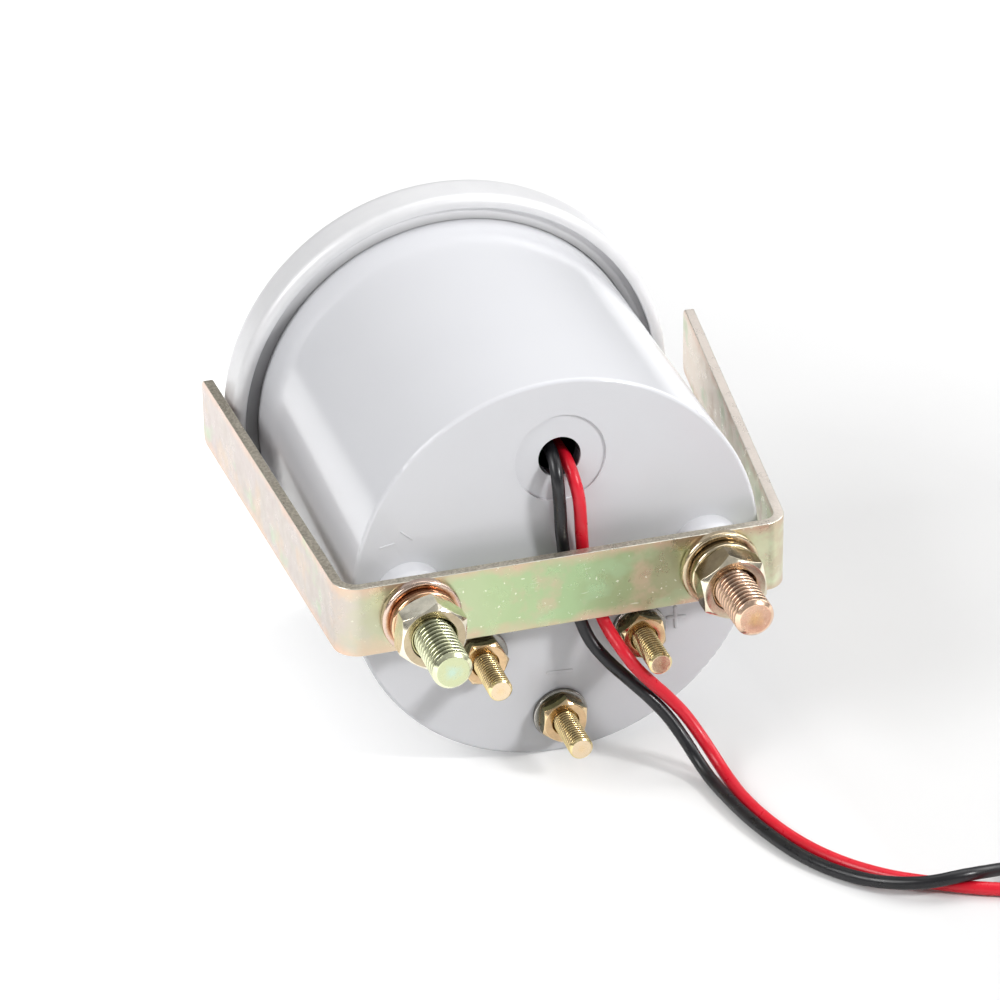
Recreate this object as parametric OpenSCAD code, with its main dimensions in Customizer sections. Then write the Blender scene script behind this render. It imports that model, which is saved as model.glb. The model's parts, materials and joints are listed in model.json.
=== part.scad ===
// Panel voltmeter for a 52 mm hole, with its U-bracket, studs, terminals and two leads.
// The gauge's axis lies along Y. The dial faces -Y and the studs point to +Y.
// The origin is on the axis, in the plane where the bezel's back meets the panel.

/* [Case] */
// Outside diameter of the moulded case, which passes through the panel
case_d = 52; // [43:0.5:64]
// Distance from the panel to the case's rear face
case_depth = 45.8; // [38:0.1:60]
// Thickness of the case's side wall
case_wall = 2; // [1.6:0.1:2.6]
// Side wall left round the dial, where the case is bored out to seat it
mouth_wall = 1.2; // [0.9:0.1:1.4]
// Thickness of the case's rear wall
rear_wall = 2.6; // [2:0.1:3.6]
// Rounding of the case's rear edge
rear_edge_r = 0.5; // [0.3:0.1:1.6]
// Thickness of the flange that the bezel clamps
flange_t = 2.5; // [1.8:0.1:3]
// Distance from the panel to the flange's rear side
flange_back = 2.2; // [1.9:0.1:2.6]
// Radius of the cable hole
cable_hole_r = 2.7; // [2.3:0.1:3.2]
// Distance of the cable hole from the case's edge
cable_hole_inset = 10.5; // [9:0.1:12.5]
// How far the cable hole lies to the right of the axis, seen from the front
cable_hole_shift = 0.35; // [0:0.05:1]
// Radius of the sunk disc round the cable hole
mould_disc_r = 5.8; // [4.6:0.1:6.8]
// Depth of the sunk disc round the cable hole
mould_disc_depth = 0.3; // [0.1:0.05:0.4]

/* [Bezel] */
// How far the bezel stands out past the case
bezel_overhang = 3.5; // [3:0.1:4.4]
// Height of the bezel in front of the panel
bezel_h = 8; // [7.6:0.1:10]
// Thickness of the bezel's sheet metal
bezel_t = 0.7; // [0.5:0.05:0.9]
// Rounding of the bezel's front rim
bezel_front_r = 3.4; // [2:0.1:4]
// Rounding of the bezel's rear rim
bezel_rear_r = 1.2; // [0.9:0.1:1.4]
// Gap between the rolled rear edge and the case
crimp_gap = 1.8; // [1.5:0.1:2]
// Width of the bezel's front lip over the lens
front_lip = 4.9; // [4:0.1:5.6]
// Thickness of the lens
lens_t = 1.8; // [1.4:0.1:2]
// Thickness of the rubber ring behind the lens
gasket_t = 0.7; // [0.5:0.05:0.8]

/* [Studs and bracket] */
// Radius of a bracket stud
stud_r = 2.5; // [2.1:0.1:3]
// Distance of the bracket studs from the case's edge
stud_inset = 7.05; // [6.4:0.05:8.5]
// How far the left bracket stud stands out of the rear face
left_stud_out = 19.2; // [17:0.1:22]
// How far the right bracket stud stands out of the rear face
right_stud_out = 18.6; // [17:0.1:22]
// Height of the boss round each bracket stud
boss_h = 3.6; // [2.8:0.1:4.2]
// Radius of the boss round each bracket stud
boss_r = 4.4; // [4:0.1:5.4]
// Rounding of the boss's rim
boss_round = 1.6; // [0.4:0.1:1.8]
// Width of the bracket's strip
strip_w = 9.4; // [8.8:0.1:11.5]
// Thickness of the bracket's strip
strip_t = 1.3; // [1:0.05:1.6]
// Gap between the case and the left leg, where it meets the web
left_side_gap = 1.7; // [0.4:0.1:2.4]
// Gap between the case and the right leg, where it meets the web
right_side_gap = 0.6; // [0.4:0.1:2.4]
// Outside radius of the bracket's bends
bend_r = 3.2; // [2:0.1:3.8]
// Reach of the bracket's legs in front of the panel plane
leg_reach = 8.5; // [5:0.1:9.8]
// Gap between the bezel's rim and the left leg
left_leg_gap = 0.4; // [0.4:0.1:6]
// Gap between the bezel's rim and the right leg
right_leg_gap = 4; // [0.4:0.1:6]
// Rounding of the corners at the tips of the legs
tip_r = 1.3; // [0.5:0.1:2.5]
// Clearance round a stud in the bracket's holes
hole_gap = 0.3; // [0.2:0.05:0.5]
// Radius of a flat washer
flat_washer_r = 5; // [4.6:0.1:5.8]
// Thickness of a flat washer
flat_washer_t = 1.1; // [0.8:0.05:1.4]
// Radius of a spring washer
spring_washer_r = 4.25; // [3.9:0.05:4.5]
// Thickness of a spring washer
spring_washer_t = 1.5; // [1:0.05:1.7]
// Width of a bracket nut across its flats
nut_af = 8; // [7.4:0.1:9.6]
// Height of a bracket nut
nut_h = 3.6; // [3:0.1:4.4]

/* [Terminals] */
// Radius of a terminal stud
terminal_r = 1.5; // [1.25:0.05:1.8]
// How far the terminal studs stand out of the rear face
terminal_out = 9.2; // [7.6:0.1:11]
// Distance of the two upper terminals from the case's edge
side_terminal_inset = 11.65; // [10.6:0.05:12.5]
// Angle of the two upper terminals below the line of the bracket studs
side_terminal_angle = 44.7; // [40:0.1:50]
// Distance of the bottom terminal from the case's edge
bottom_terminal_inset = 5.7; // [4.8:0.1:6.6]
// Radius of a terminal washer
terminal_washer_r = 3.5; // [3.2:0.05:3.9]
// Thickness of a terminal washer
terminal_washer_t = 0.7; // [0.5:0.05:0.9]
// Width of a terminal nut across its flats
terminal_nut_af = 5.5; // [5:0.1:6.2]
// Height of a terminal nut
terminal_nut_h = 1.9; // [1.5:0.1:2.4]

/* [Dial and movement] */
// Angle between the dial's lowest and highest marks
sweep = 120; // [80:5:150]
// Length of the pointer from the dial's middle
pointer_l = 19; // [14:0.5:20.5]
// Half width of the pointer at its hub
pointer_half_w = 0.8; // [0.6:0.1:1.2]
// Radius of the pointer's hub cap
hub_r = 3.8; // [3:0.1:5]
// Thickness of the dial
dial_t = 0.8; // [0.5:0.1:1.2]
// Thickness of the clear disc behind the dial
guide_t = 2; // [1.6:0.1:2.6]
// Radius of the pointer's shaft
shaft_r = 0.6; // [0.4:0.05:0.8]
// Radius of the magnet on the shaft
magnet_r = 4.2; // [3.4:0.1:4.8]
// Height of the magnet on the shaft
magnet_h = 4; // [3:0.1:4.6]
// Side of the square bobbin
bobbin_w = 13; // [12:0.1:14]
// Thickness of one layer of winding
winding_t = 1.2; // [0.8:0.1:1.4]
// Distance from a flat side of the bobbin to the outside of the steel can
can_room = 5.1; // [4.8:0.1:6]
// Thickness of the circuit board
board_t = 1.6; // [1:0.1:2]

/* [Leads] */
// Diameter of a lead
lead_d = 1.6; // [1.4:0.1:1.8]

/* [Hidden] */
$fn = 96;

// Clearances: pieces that only touch, fixed pieces on a pin, and pieces that turn or slide on one
seat = 0.05;
snug = 0.03;
running = 0.05;
// Extra length of a cut past the face it opens
past = 1;

case_r = case_d / 2;
cavity_r = case_r - case_wall;
mouth_r = case_r - mouth_wall;
bezel_r = case_r + bezel_overhang;
crimp_r = case_r + crimp_gap;
flange_r = bezel_r - bezel_t - 0.4;
flange_front = -flange_back - flange_t;
window_r = bezel_r - front_lip;
lens_r = bezel_r - bezel_t - 0.9;
lens_front = -bezel_h + bezel_t + seat;
lens_back = lens_front + lens_t;
gasket_back = lens_back + seat + gasket_t;

// Dial stack, from the front: trim ring, dial, clear disc, lamp board
dial_front = 0.4;
dial_back = dial_front + dial_t;
guide_back = dial_back + seat + guide_t;
disc_r = mouth_r - 0.2;
lamp_h = 1.3;
lamp_board_y = guide_back + seat + lamp_h;
lamp_board_t = 1;
lamp_count = 4;

// Movement
blade_t = 0.6;
blade_y = dial_front - 2.8;
stop_pin_r = 0.5;
stop_ring_r = 9;
movement_y = 13;
bobbin_h = 9;
magnet_room = 0.6;
can_t = 0.8;
can_r = bobbin_w / 2 + can_room;
can_back = movement_y + bobbin_h / 2 + 2 * winding_t + 2 * seat + can_t;
can_h = can_back - lamp_board_y;
board_y = can_back + seat;
board_back = board_y + board_t;
board_r = cavity_r - 0.8;
post_r = 2.4;
post_ring_r = case_r - 6.2;
post_angles = [60, 120, 218, 322];
screw_r = 0.9;
screw_depth = 6;

// Studs and terminals, as places on the rear face
rear_face = case_depth;
inner_face = case_depth - rear_wall;
stud_x = case_r - stud_inset;
stud_head_h = 3;
side_terminal = case_r - side_terminal_inset;
terminal_places = [
  [side_terminal * cos(side_terminal_angle), -side_terminal * sin(side_terminal_angle)],
  [-side_terminal * cos(side_terminal_angle), -side_terminal * sin(side_terminal_angle)],
  [0, bottom_terminal_inset - case_r]];
terminal_end = rear_face + terminal_out;
terminal_head_h = 2;
cable_hole_z = case_r - cable_hole_inset;

// Bracket: its web lies on the bosses, and its legs lean out past the bezel's rim
web_in = rear_face + boss_h + seat;
web_out = web_in + strip_t;
left_half = case_r + left_side_gap + strip_t;
right_half = case_r + right_side_gap + strip_t;
// How far a bend's arcs reach past its flat faces, so that they meet in a clean edge
bend_over = 0.002;
rim_y = -bezel_rear_r;
flat_washer_y = web_out + seat;
spring_washer_y = flat_washer_y + flat_washer_t + seat;
nut_y = spring_washer_y + spring_washer_t + seat;
terminal_washer_y = rear_face + seat;
terminal_nut_y = terminal_washer_y + terminal_washer_t + seat;
// How far each nut is turned from a corner on the +X side
left_nut_turn = 37;
right_nut_turn = 22;
terminal_nut_turns = [0, 21, 35];

// Leads
lead_r = lead_d / 2;
lead_sides = 8;
// Direction that no stretch of a lead runs in, from which each ring takes its turn
lead_side = [0.6, 0.6, 0.5];
black_route = [[0.45, 22.8, 16.1], [0.45, 34, 16.1], [0.45, 39.5, 16.1], [0.45, 42, 16.1],
  [0.45, 43.5, 16.1], [0.5, 45, 15.9], [0.55, 46.3, 15.3], [0.6, 47.3, 14.3], [0.6, 47.9, 13],
  [0.55, 48.1, 11.5], [0.4, 48, 9.6], [0.2, 47.7, 6.8], [-0.2, 47.4, 3.5], [-0.8, 47.3, 0],
  [-1.4, 47.5, -3.3], [-2.1, 48.1, -6.2], [-3.1, 49.1, -8.8], [-4.8, 50.5, -11.1], [-7, 52, -13.3],
  [-9.2, 53.3, -15.5], [-11.2, 54.5, -17.9], [-12.8, 56, -20.5], [-13.9, 58.1, -22.6],
  [-14.6, 61, -23.7], [-15.1, 66.3, -23.5], [-15.8, 71.8, -23.1], [-17, 77.4, -22.7], [-18.8, 83, -22.3],
  [-21.5, 88, -21.9], [-25, 92.3, -21.2], [-29.3, 95.4, -20.2], [-34, 96.2, -19.6], [-38.6, 94.9, -20.6],
  [-43, 93.9, -21.4], [-48, 93.7, -21.5], [-53, 93.7, -21.5], [-57.5, 93.7, -21.5]];
red_route = [[-1.3, 22.8, 14.9], [-1.3, 34, 14.9], [-1.3, 39.5, 14.9], [-1.3, 42, 14.9],
  [-1.3, 43.5, 14.9], [-1.35, 45, 14.7], [-1.45, 46.3, 14.1], [-1.6, 47.3, 13.1], [-1.8, 47.9, 11.8],
  [-2, 48.1, 10.3], [-2.2, 47.9, 8.2], [-2.4, 47.6, 5.8], [-2.6, 47.4, 3.6], [-3.1, 47.3, 0.3],
  [-3.8, 47.4, -2.7], [-4.4, 48, -5], [-5, 49.3, -6.8], [-5.6, 51, -8], [-6.3, 52.5, -9.1],
  [-7.4, 53.4, -10.8], [-9.3, 53.7, -13.1], [-11.4, 53.9, -15.5], [-13.4, 54.6, -18], [-15, 56, -20.6],
  [-16.1, 58.1, -22.6], [-16.7, 61.2, -23.7], [-16.9, 66.5, -23.5], [-17.6, 72, -23.1],
  [-18.9, 77.5, -22.7], [-20.8, 82.6, -22.3], [-23.4, 87, -22], [-26.8, 90.9, -21.7], [-30.7, 94, -21.4],
  [-35.2, 96.9, -21.2], [-40, 99, -21.1], [-44, 100.1, -21], [-48, 100.3, -21]];
// Each coil is a flat spiral on the sloping surface, whose outer turn the lead joins from the side
coil_mid_r = 8.8;
coil_half_w = 2.4;
coil_slope = 4.3;
black_coil_at = [-57.5, 83.3, -23.13];
red_coil_at = [-48, 110.7, -21.07];

// Turns the Z axis of its children to +Y
module along_y() {
  rotate([-90, 0, 0]) children();
}

// Spins an outline of radius and place along the axis round the gauge's axis
module turned() {
  along_y() rotate_extrude() children();
}

// Moves its children to x, y, z
module at(x, y, z) {
  translate([x, y, z]) children();
}

// Round bar or disc from y0 to y1
module bar(r, y0, y1) {
  at(0, y0, 0) along_y() cylinder(r = r, h = y1 - y0);
}

// Flat ring from y0 to y1
module ring(r_in, r_out, y0, y1) {
  difference() {
    bar(r_out, y0, y1);
    bar(r_in, y0 - past, y1 + past);
  }
}

// Half outline of a drum from y0 to y1, with rounded edges
module drum_outline(r, y0, y1, round0, round1) {
  translate([0, y0 + round0]) square([r, y1 - y0 - round0 - round1]);
  translate([0, y0]) square([r - round0, round0 + past / 2]);
  translate([0, y1 - round1 - past / 2]) square([r - round1, round1 + past / 2]);
  translate([r - round0, y0 + round0]) circle(round0);
  translate([r - round1, y1 - round1]) circle(round1);
}

// Six-sided bar from y0 to y1, with a corner at the given turn
module hex_bar(af, y0, y1, turn) {
  at(0, y0, 0) along_y() rotate([0, 0, -turn]) cylinder(r = af / 2 / cos(30), h = y1 - y0, $fn = 6);
}

// Nut with its corners turned down on both faces and a countersunk bore
module hex_nut(af, h, bore, y0, turn) {
  corner_r = af / 2 / cos(30);
  face_r = af * 0.48;
  drop = (corner_r - face_r) * 0.9;
  sink = bore * 0.12;
  y1 = y0 + h;
  difference() {
    intersection() {
      hex_bar(af, y0, y1, turn);
      turned() polygon([[0, y0], [face_r, y0], [corner_r + 0.1, y0 + drop], [corner_r + 0.1, y1 - drop],
        [face_r, y1], [0, y1]]);
    }
    bar(bore, y0 - past, y1 + past);
    turned() polygon([[0, y1 - sink], [bore, y1 - sink], [bore + sink, y1], [bore + sink, y1 + past], [0, y1 + past]]);
    turned() polygon([[0, y0 - past], [bore + sink, y0 - past], [bore + sink, y0], [bore, y0 + sink], [0, y0 + sink]]);
  }
}

// Plain shank that carries a thread, with a chamfered end
module stud_shank(r, y0, y1, chamfer) {
  bar(r, y0, y1 - chamfer);
  at(0, y1 - chamfer, 0) along_y() cylinder(r1 = r, r2 = r - chamfer, h = chamfer);
}

// Places its children at each bracket stud
module at_both_studs() {
  for (side = [-1, 1]) at(side * stud_x, 0, 0) children();
}

// Places its children at each post, spacer or board screw
module at_posts() {
  for (a = post_angles) at(post_ring_r * cos(a), 0, post_ring_r * sin(a)) children();
}

module case_shell() {
  turned() {
    drum_outline(case_r, flange_front + flange_t / 2, rear_face, 0.1, rear_edge_r);
    drum_outline(flange_r, flange_front, -flange_back, 0.3, 0.3);
  }
}

module stud_boss() {
  turned() drum_outline(boss_r, rear_face - rear_wall / 2, rear_face + boss_h, 0.1, boss_round);
}

module case() {
  color([0.86, 0.87, 0.89]) difference() {
    union() {
      difference() {
        case_shell();
        bar(cavity_r, guide_back + seat, inner_face);
        bar(mouth_r, flange_front - past, guide_back + seat);
      }
      at_both_studs() stud_boss();
      at_posts() bar(post_r, board_back + seat, inner_face + rear_wall / 2);
    }
    at_both_studs() bar(stud_r + snug, inner_face - past, rear_face + boss_h + past);
    for (p = terminal_places) at(p[0], 0, p[1]) bar(terminal_r + snug, inner_face - past, rear_face + past);
    at(-cable_hole_shift, 0, cable_hole_z) bar(cable_hole_r, inner_face - past, rear_face + past);
    at(-cable_hole_shift, 0, cable_hole_z) bar(mould_disc_r, rear_face - mould_disc_depth, rear_face + past);
    at_posts() bar(screw_r + snug, board_back - past, board_back + screw_depth + past);
  }
}

module bezel() {
  color([0.9, 0.9, 0.91]) turned() difference() {
    drum_outline(bezel_r, -bezel_h, 0, bezel_front_r, bezel_rear_r);
    drum_outline(bezel_r - bezel_t, -bezel_h + bezel_t, -bezel_t, bezel_front_r - bezel_t, bezel_rear_r - bezel_t);
    translate([0, -bezel_h - past]) square([window_r, bezel_h]);
    translate([0, -bezel_h / 2]) square([crimp_r, bezel_h]);
  }
}

// The lens fills the bezel's front, so its front edge is rounded like the bezel's inside
module lens() {
  inside_r = bezel_r - bezel_t - seat;
  color([0.85, 0.9, 0.92, 0.35]) intersection() {
    turned() drum_outline(inside_r, lens_front, lens_back + past, bezel_front_r - bezel_t - seat, 0.1);
    bar(lens_r, lens_front - past, lens_back);
  }
}

module lens_gasket() {
  color([0.1, 0.1, 0.1]) ring(mouth_r + 0.2, lens_r - 0.2, lens_back + seat, gasket_back);
}

module seal_ring() {
  color([0.7, 0.71, 0.73]) ring(case_r + 0.1, flange_r, seat - flange_back, -bezel_t - seat);
}

module trim_ring() {
  front_r = disc_r - 0.8;
  back_r = disc_r - 2.6;
  front = lens_back + seat;
  back = dial_front - seat;
  color([0.08, 0.08, 0.08]) turned() polygon([[disc_r, front], [disc_r, back], [back_r, back], [front_r, front]]);
}

module dial() {
  color([0.05, 0.05, 0.05]) ring(shaft_r + 0.6, disc_r, dial_front, dial_back);
}

// Pins that stop the pointer at each end of its sweep
module dial_stops() {
  lean = asin((pointer_half_w + stop_pin_r + seat) / stop_ring_r);
  color([0.7, 0.7, 0.7]) for (a = [90 + sweep / 2 + lean, 90 - sweep / 2 - lean])
    at(stop_ring_r * cos(a), 0, stop_ring_r * sin(a)) bar(stop_pin_r, blade_y - 0.3, dial_front);
}

// The pointer at rest, on the low stop
module pointer() {
  tail_l = pointer_l / 3;
  tip_half_w = pointer_half_w * 0.35;
  color([0.95, 0.35, 0.1]) rotate([0, -sweep / 2, 0]) difference() {
    at(0, blade_y + blade_t, 0) rotate([90, 0, 0]) linear_extrude(blade_t)
      polygon([[-pointer_half_w * 1.6, -tail_l], [pointer_half_w * 1.6, -tail_l], [pointer_half_w, 0],
        [tip_half_w, pointer_l], [-tip_half_w, pointer_l], [-pointer_half_w, 0]]);
    bar(shaft_r + snug, blade_y - past, blade_y + blade_t + past);
  }
}

module hub_cap() {
  back = blade_y - seat;
  color([0.1, 0.1, 0.1]) difference() {
    turned() drum_outline(hub_r, back - 1.4, back, 0.6, 0.1);
    bar(shaft_r + snug, back - 0.8, back + past);
  }
}

module pointer_shaft() {
  color([0.75, 0.76, 0.78]) bar(shaft_r, blade_y - 0.7, movement_y + bobbin_h / 2 - 0.6);
}

module magnet() {
  color([0.3, 0.3, 0.32]) ring(shaft_r + snug, magnet_r, movement_y - magnet_h / 2, movement_y + magnet_h / 2);
}

module light_guide() {
  color([0.9, 0.93, 0.95, 0.5]) ring(shaft_r + 0.6, disc_r, dial_back + seat, guide_back);
}

module lamp_board() {
  color([0.1, 0.35, 0.2]) difference() {
    ring(can_r + 1.2, cavity_r - 0.5, lamp_board_y, lamp_board_y + lamp_board_t);
    at_posts() bar(screw_r + snug, lamp_board_y - past, lamp_board_y + lamp_board_t + past);
  }
}

// Small square lamps that stand on the lamp board and touch the clear disc
module lamps() {
  lamp_w = 2.8;
  lamp_ring_r = (can_r + 1.2 + cavity_r) / 2;
  color([0.95, 0.9, 0.6]) for (i = [0:lamp_count - 1]) rotate([0, i * 360 / lamp_count, 0])
    at(lamp_ring_r - lamp_w / 2, guide_back + seat, -lamp_w / 2) cube([lamp_w, lamp_h, lamp_w]);
}

// Half of the bobbin that the windings lie on, with a bearing for the shaft
module bobbin_half(y0, y1) {
  room_h = magnet_h / 2 + magnet_room;
  difference() {
    at(-bobbin_w / 2, y0, -bobbin_w / 2) cube([bobbin_w, y1 - y0, bobbin_w]);
    bar(magnet_r + magnet_room, movement_y - room_h, movement_y + room_h);
    bar(shaft_r + running, movement_y - bobbin_h, movement_y + bobbin_h / 2 - 0.5);
  }
}

module bobbin_front() {
  color([0.2, 0.2, 0.22]) bobbin_half(movement_y - bobbin_h / 2, movement_y);
}

module bobbin_rear() {
  color([0.25, 0.25, 0.27]) bobbin_half(movement_y, movement_y + bobbin_h / 2);
}

// Two square hoops of wire round the bobbin, one on each side of the shaft
module hoops(w, h, layer) {
  hoop_l = 3;
  hoop_at = 3.2;
  for (side = [-1, 1]) difference() {
    at(-w / 2 - layer, movement_y - h / 2 - layer, side * hoop_at - hoop_l / 2)
      cube([w + 2 * layer, h + 2 * layer, hoop_l]);
    at(-w / 2, movement_y - h / 2, side * hoop_at - hoop_l) cube([w, h, 2 * hoop_l]);
  }
}

module inner_winding() {
  color([0.75, 0.4, 0.2]) hoops(bobbin_w + 2 * seat, bobbin_h + 2 * seat, winding_t - seat);
}

module outer_winding() {
  color([0.8, 0.45, 0.25]) rotate([0, 90, 0])
    hoops(bobbin_w + 2 * seat, bobbin_h + 2 * winding_t + 2 * seat, winding_t - seat);
}

module movement_can() {
  color([0.7, 0.71, 0.73]) difference() {
    turned() drum_outline(can_r, can_back - can_h, can_back, 0.1, 0.8);
    bar(can_r - can_t, can_back - can_h - past, can_back - can_t);
  }
}

module circuit_board() {
  color([0.1, 0.4, 0.2]) difference() {
    bar(board_r, board_y, board_back);
    at_posts() bar(screw_r + snug, board_y - past, board_back + past);
  }
}

module board_spacers() {
  color([0.8, 0.8, 0.78]) at_posts()
    ring(screw_r + snug, post_r - 0.6, lamp_board_y + lamp_board_t + seat, board_y - seat);
}

// Long screws that hold the lamp board, its spacers and the circuit board on the case's posts
module board_screws() {
  color([0.6, 0.6, 0.62]) at_posts() {
    bar(screw_r * 1.8, lamp_board_y - 1, lamp_board_y - seat);
    bar(screw_r, lamp_board_y - seat - 0.2, board_back + screw_depth);
  }
}

// Stiff wires from the board to the heads of the terminal studs
module inner_links() {
  color([0.8, 0.5, 0.3]) for (p = terminal_places) at(p[0], 0, p[1])
    bar(0.6, board_back + seat, inner_face - seat - terminal_head_h - seat);
}

module bracket_stud(x, out, turn) {
  at(x, 0, 0) {
    stud_shank(stud_r, inner_face - stud_head_h, rear_face + out, stud_r * 0.28);
    hex_bar(nut_af, inner_face - stud_head_h - seat, inner_face - seat, turn);
  }
}

module left_bracket_stud() {
  color([0.72, 0.72, 0.5]) bracket_stud(stud_x, left_stud_out, left_nut_turn);
}

module right_bracket_stud() {
  color([0.78, 0.6, 0.45]) bracket_stud(-stud_x, right_stud_out, right_nut_turn);
}

module terminal_stud(i) {
  p = terminal_places[i];
  at(p[0], 0, p[1]) {
    stud_shank(terminal_r, inner_face - terminal_head_h, terminal_end, terminal_r * 0.3);
    hex_bar(terminal_nut_af, inner_face - terminal_head_h - seat, inner_face - seat, terminal_nut_turns[i]);
  }
}

module left_terminal_stud() {
  color([0.85, 0.7, 0.42]) terminal_stud(0);
}

module right_terminal_stud() {
  color([0.85, 0.7, 0.42]) terminal_stud(1);
}

module bottom_terminal_stud() {
  color([0.85, 0.7, 0.42]) terminal_stud(2);
}

// How far a leg leans out, so that its inside clears the bezel's rim by a gap
function leg_lean(half, gap) = atan((bezel_r + gap + strip_t - half) / (web_out - rim_y));

// Area inside one bend, bounded by the web's half length and a leg, for a bend of radius r
module bent_area(r, half, lean, reach) {
  half_turn = (90 - lean) / 2;
  bend_at = [half - bend_r * tan(half_turn), web_out - bend_r];
  corner = bend_at + [r * tan(half_turn), r];
  tip = corner + reach * [sin(lean), -cos(lean)];
  difference() {
    polygon([[-strip_w, corner[1]], corner, tip, [-strip_w, tip[1]]]);
    translate(bend_at) difference() {
      polygon([[0, 0], [0, 2 * r], [2 * r, 2 * r], [2 * r * cos(lean), 2 * r * sin(lean)]]);
      circle(r + bend_over);
    }
  }
}

// One leg, its bend and its half of the web, seen along Z, on the +X side
module bracket_half(half, gap) {
  lean = leg_lean(half, gap);
  reach = (web_out + leg_reach) / cos(lean) + past;
  difference() {
    bent_area(bend_r, half, lean, reach);
    bent_area(bend_r - strip_t, half, lean, reach + past);
  }
}

module bracket() {
  length = web_out + leg_reach;
  color([0.78, 0.78, 0.66]) difference() {
    intersection() {
      translate([0, 0, -strip_w / 2]) linear_extrude(strip_w) {
        bracket_half(left_half, left_leg_gap);
        mirror([1, 0]) bracket_half(right_half, right_leg_gap);
      }
      // Side view of the strip, with the corners of the tips rounded
      translate([-2 * case_d, 0, 0]) rotate([90, 0, 90]) linear_extrude(4 * case_d) union() {
        translate([-leg_reach + tip_r, -strip_w / 2]) square([length, strip_w]);
        translate([-leg_reach, tip_r - strip_w / 2]) square([length, strip_w - 2 * tip_r]);
        for (side = [-1, 1]) translate([-leg_reach + tip_r, side * (strip_w / 2 - tip_r)]) circle(tip_r);
      }
    }
    at_both_studs() bar(stud_r + hole_gap, web_in - past, web_out + past);
  }
}

module flat_washer(x) {
  at(x, 0, 0) ring(stud_r + running, flat_washer_r, flat_washer_y, flat_washer_y + flat_washer_t);
}

module left_flat_washer() {
  color([0.75, 0.6, 0.45]) flat_washer(stud_x);
}

module right_flat_washer() {
  color([0.75, 0.6, 0.45]) flat_washer(-stud_x);
}

// Ring with a slanted cut through one side
module spring_washer(x) {
  at(x, 0, 0) difference() {
    ring(stud_r + running, spring_washer_r, spring_washer_y, spring_washer_y + spring_washer_t);
    at(0, spring_washer_y + spring_washer_t / 2, -spring_washer_r) rotate([0, 0, 35])
      cube([0.5, 3 * spring_washer_t, 2 * (spring_washer_r - stud_r) + past], center = true);
  }
}

module left_spring_washer() {
  color([0.5, 0.42, 0.35]) spring_washer(stud_x);
}

module right_spring_washer() {
  color([0.5, 0.42, 0.35]) spring_washer(-stud_x);
}

module left_bracket_nut() {
  color([0.82, 0.76, 0.6]) at(stud_x, 0, 0) hex_nut(nut_af, nut_h, stud_r + running, nut_y, left_nut_turn);
}

module right_bracket_nut() {
  color([0.82, 0.76, 0.6]) at(-stud_x, 0, 0) hex_nut(nut_af, nut_h, stud_r + running, nut_y, right_nut_turn);
}

module terminal_washer(i) {
  p = terminal_places[i];
  at(p[0], 0, p[1])
    ring(terminal_r + running, terminal_washer_r, terminal_washer_y, terminal_washer_y + terminal_washer_t);
}

module left_terminal_washer() {
  color([0.2, 0.2, 0.2]) terminal_washer(0);
}

module right_terminal_washer() {
  color([0.2, 0.2, 0.2]) terminal_washer(1);
}

module bottom_terminal_washer() {
  color([0.2, 0.2, 0.2]) terminal_washer(2);
}

module terminal_nut(i) {
  p = terminal_places[i];
  at(p[0], 0, p[1])
    hex_nut(terminal_nut_af, terminal_nut_h, terminal_r + running, terminal_nut_y, terminal_nut_turns[i]);
}

module left_terminal_nut() {
  color([0.7, 0.62, 0.38]) terminal_nut(0);
}

module right_terminal_nut() {
  color([0.7, 0.62, 0.38]) terminal_nut(1);
}

module bottom_terminal_nut() {
  color([0.7, 0.62, 0.38]) terminal_nut(2);
}

function unit(v) = v / norm(v);

// Direction of a route at one of its points
function heading(route, i) =
  unit(route[min(i + 1, len(route) - 1)] - route[max(i - 1, 0)]);

// One ring of points round a route
function lead_ring(route, i) =
  let (ahead = heading(route, i), side = unit(cross(ahead, lead_side)), up = cross(side, ahead))
  [for (k = [0:lead_sides - 1]) let (a = 360 * k / lead_sides)
    route[i] + lead_r * (cos(a) * side + sin(a) * up)];

// Round tube along a route
module lead_tube(route) {
  rings = len(route);
  points = [for (i = [0:rings - 1]) each lead_ring(route, i)];
  function spot(i, k) = i * lead_sides + k % lead_sides;
  sides = [for (i = [0:rings - 2], k = [0:lead_sides - 1])
    each [[spot(i, k), spot(i, k + 1), spot(i + 1, k)], [spot(i, k + 1), spot(i + 1, k + 1), spot(i + 1, k)]]];
  start = [for (k = [0:lead_sides - 1]) spot(0, lead_sides - 1 - k)];
  end = [for (k = [0:lead_sides - 1]) spot(rings - 1, k)];
  polyhedron(points, concat(sides, [start, end]));
}

// Solid of a flat coil that lies on the sloping surface
module lead_coil(place) {
  translate(place) rotate([coil_slope, 0, 0]) rotate_extrude()
    translate([coil_mid_r - coil_half_w, 0]) square([2 * coil_half_w, lead_d]);
}

module black_lead() {
  color([0.06, 0.06, 0.07]) lead_tube(black_route);
}

module red_lead() {
  color([0.8, 0.05, 0.08]) lead_tube(red_route);
}

module black_coil() {
  color([0.06, 0.06, 0.07]) lead_coil(black_coil_at);
}

module red_coil() {
  color([0.8, 0.05, 0.08]) lead_coil(red_coil_at);
}

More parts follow.
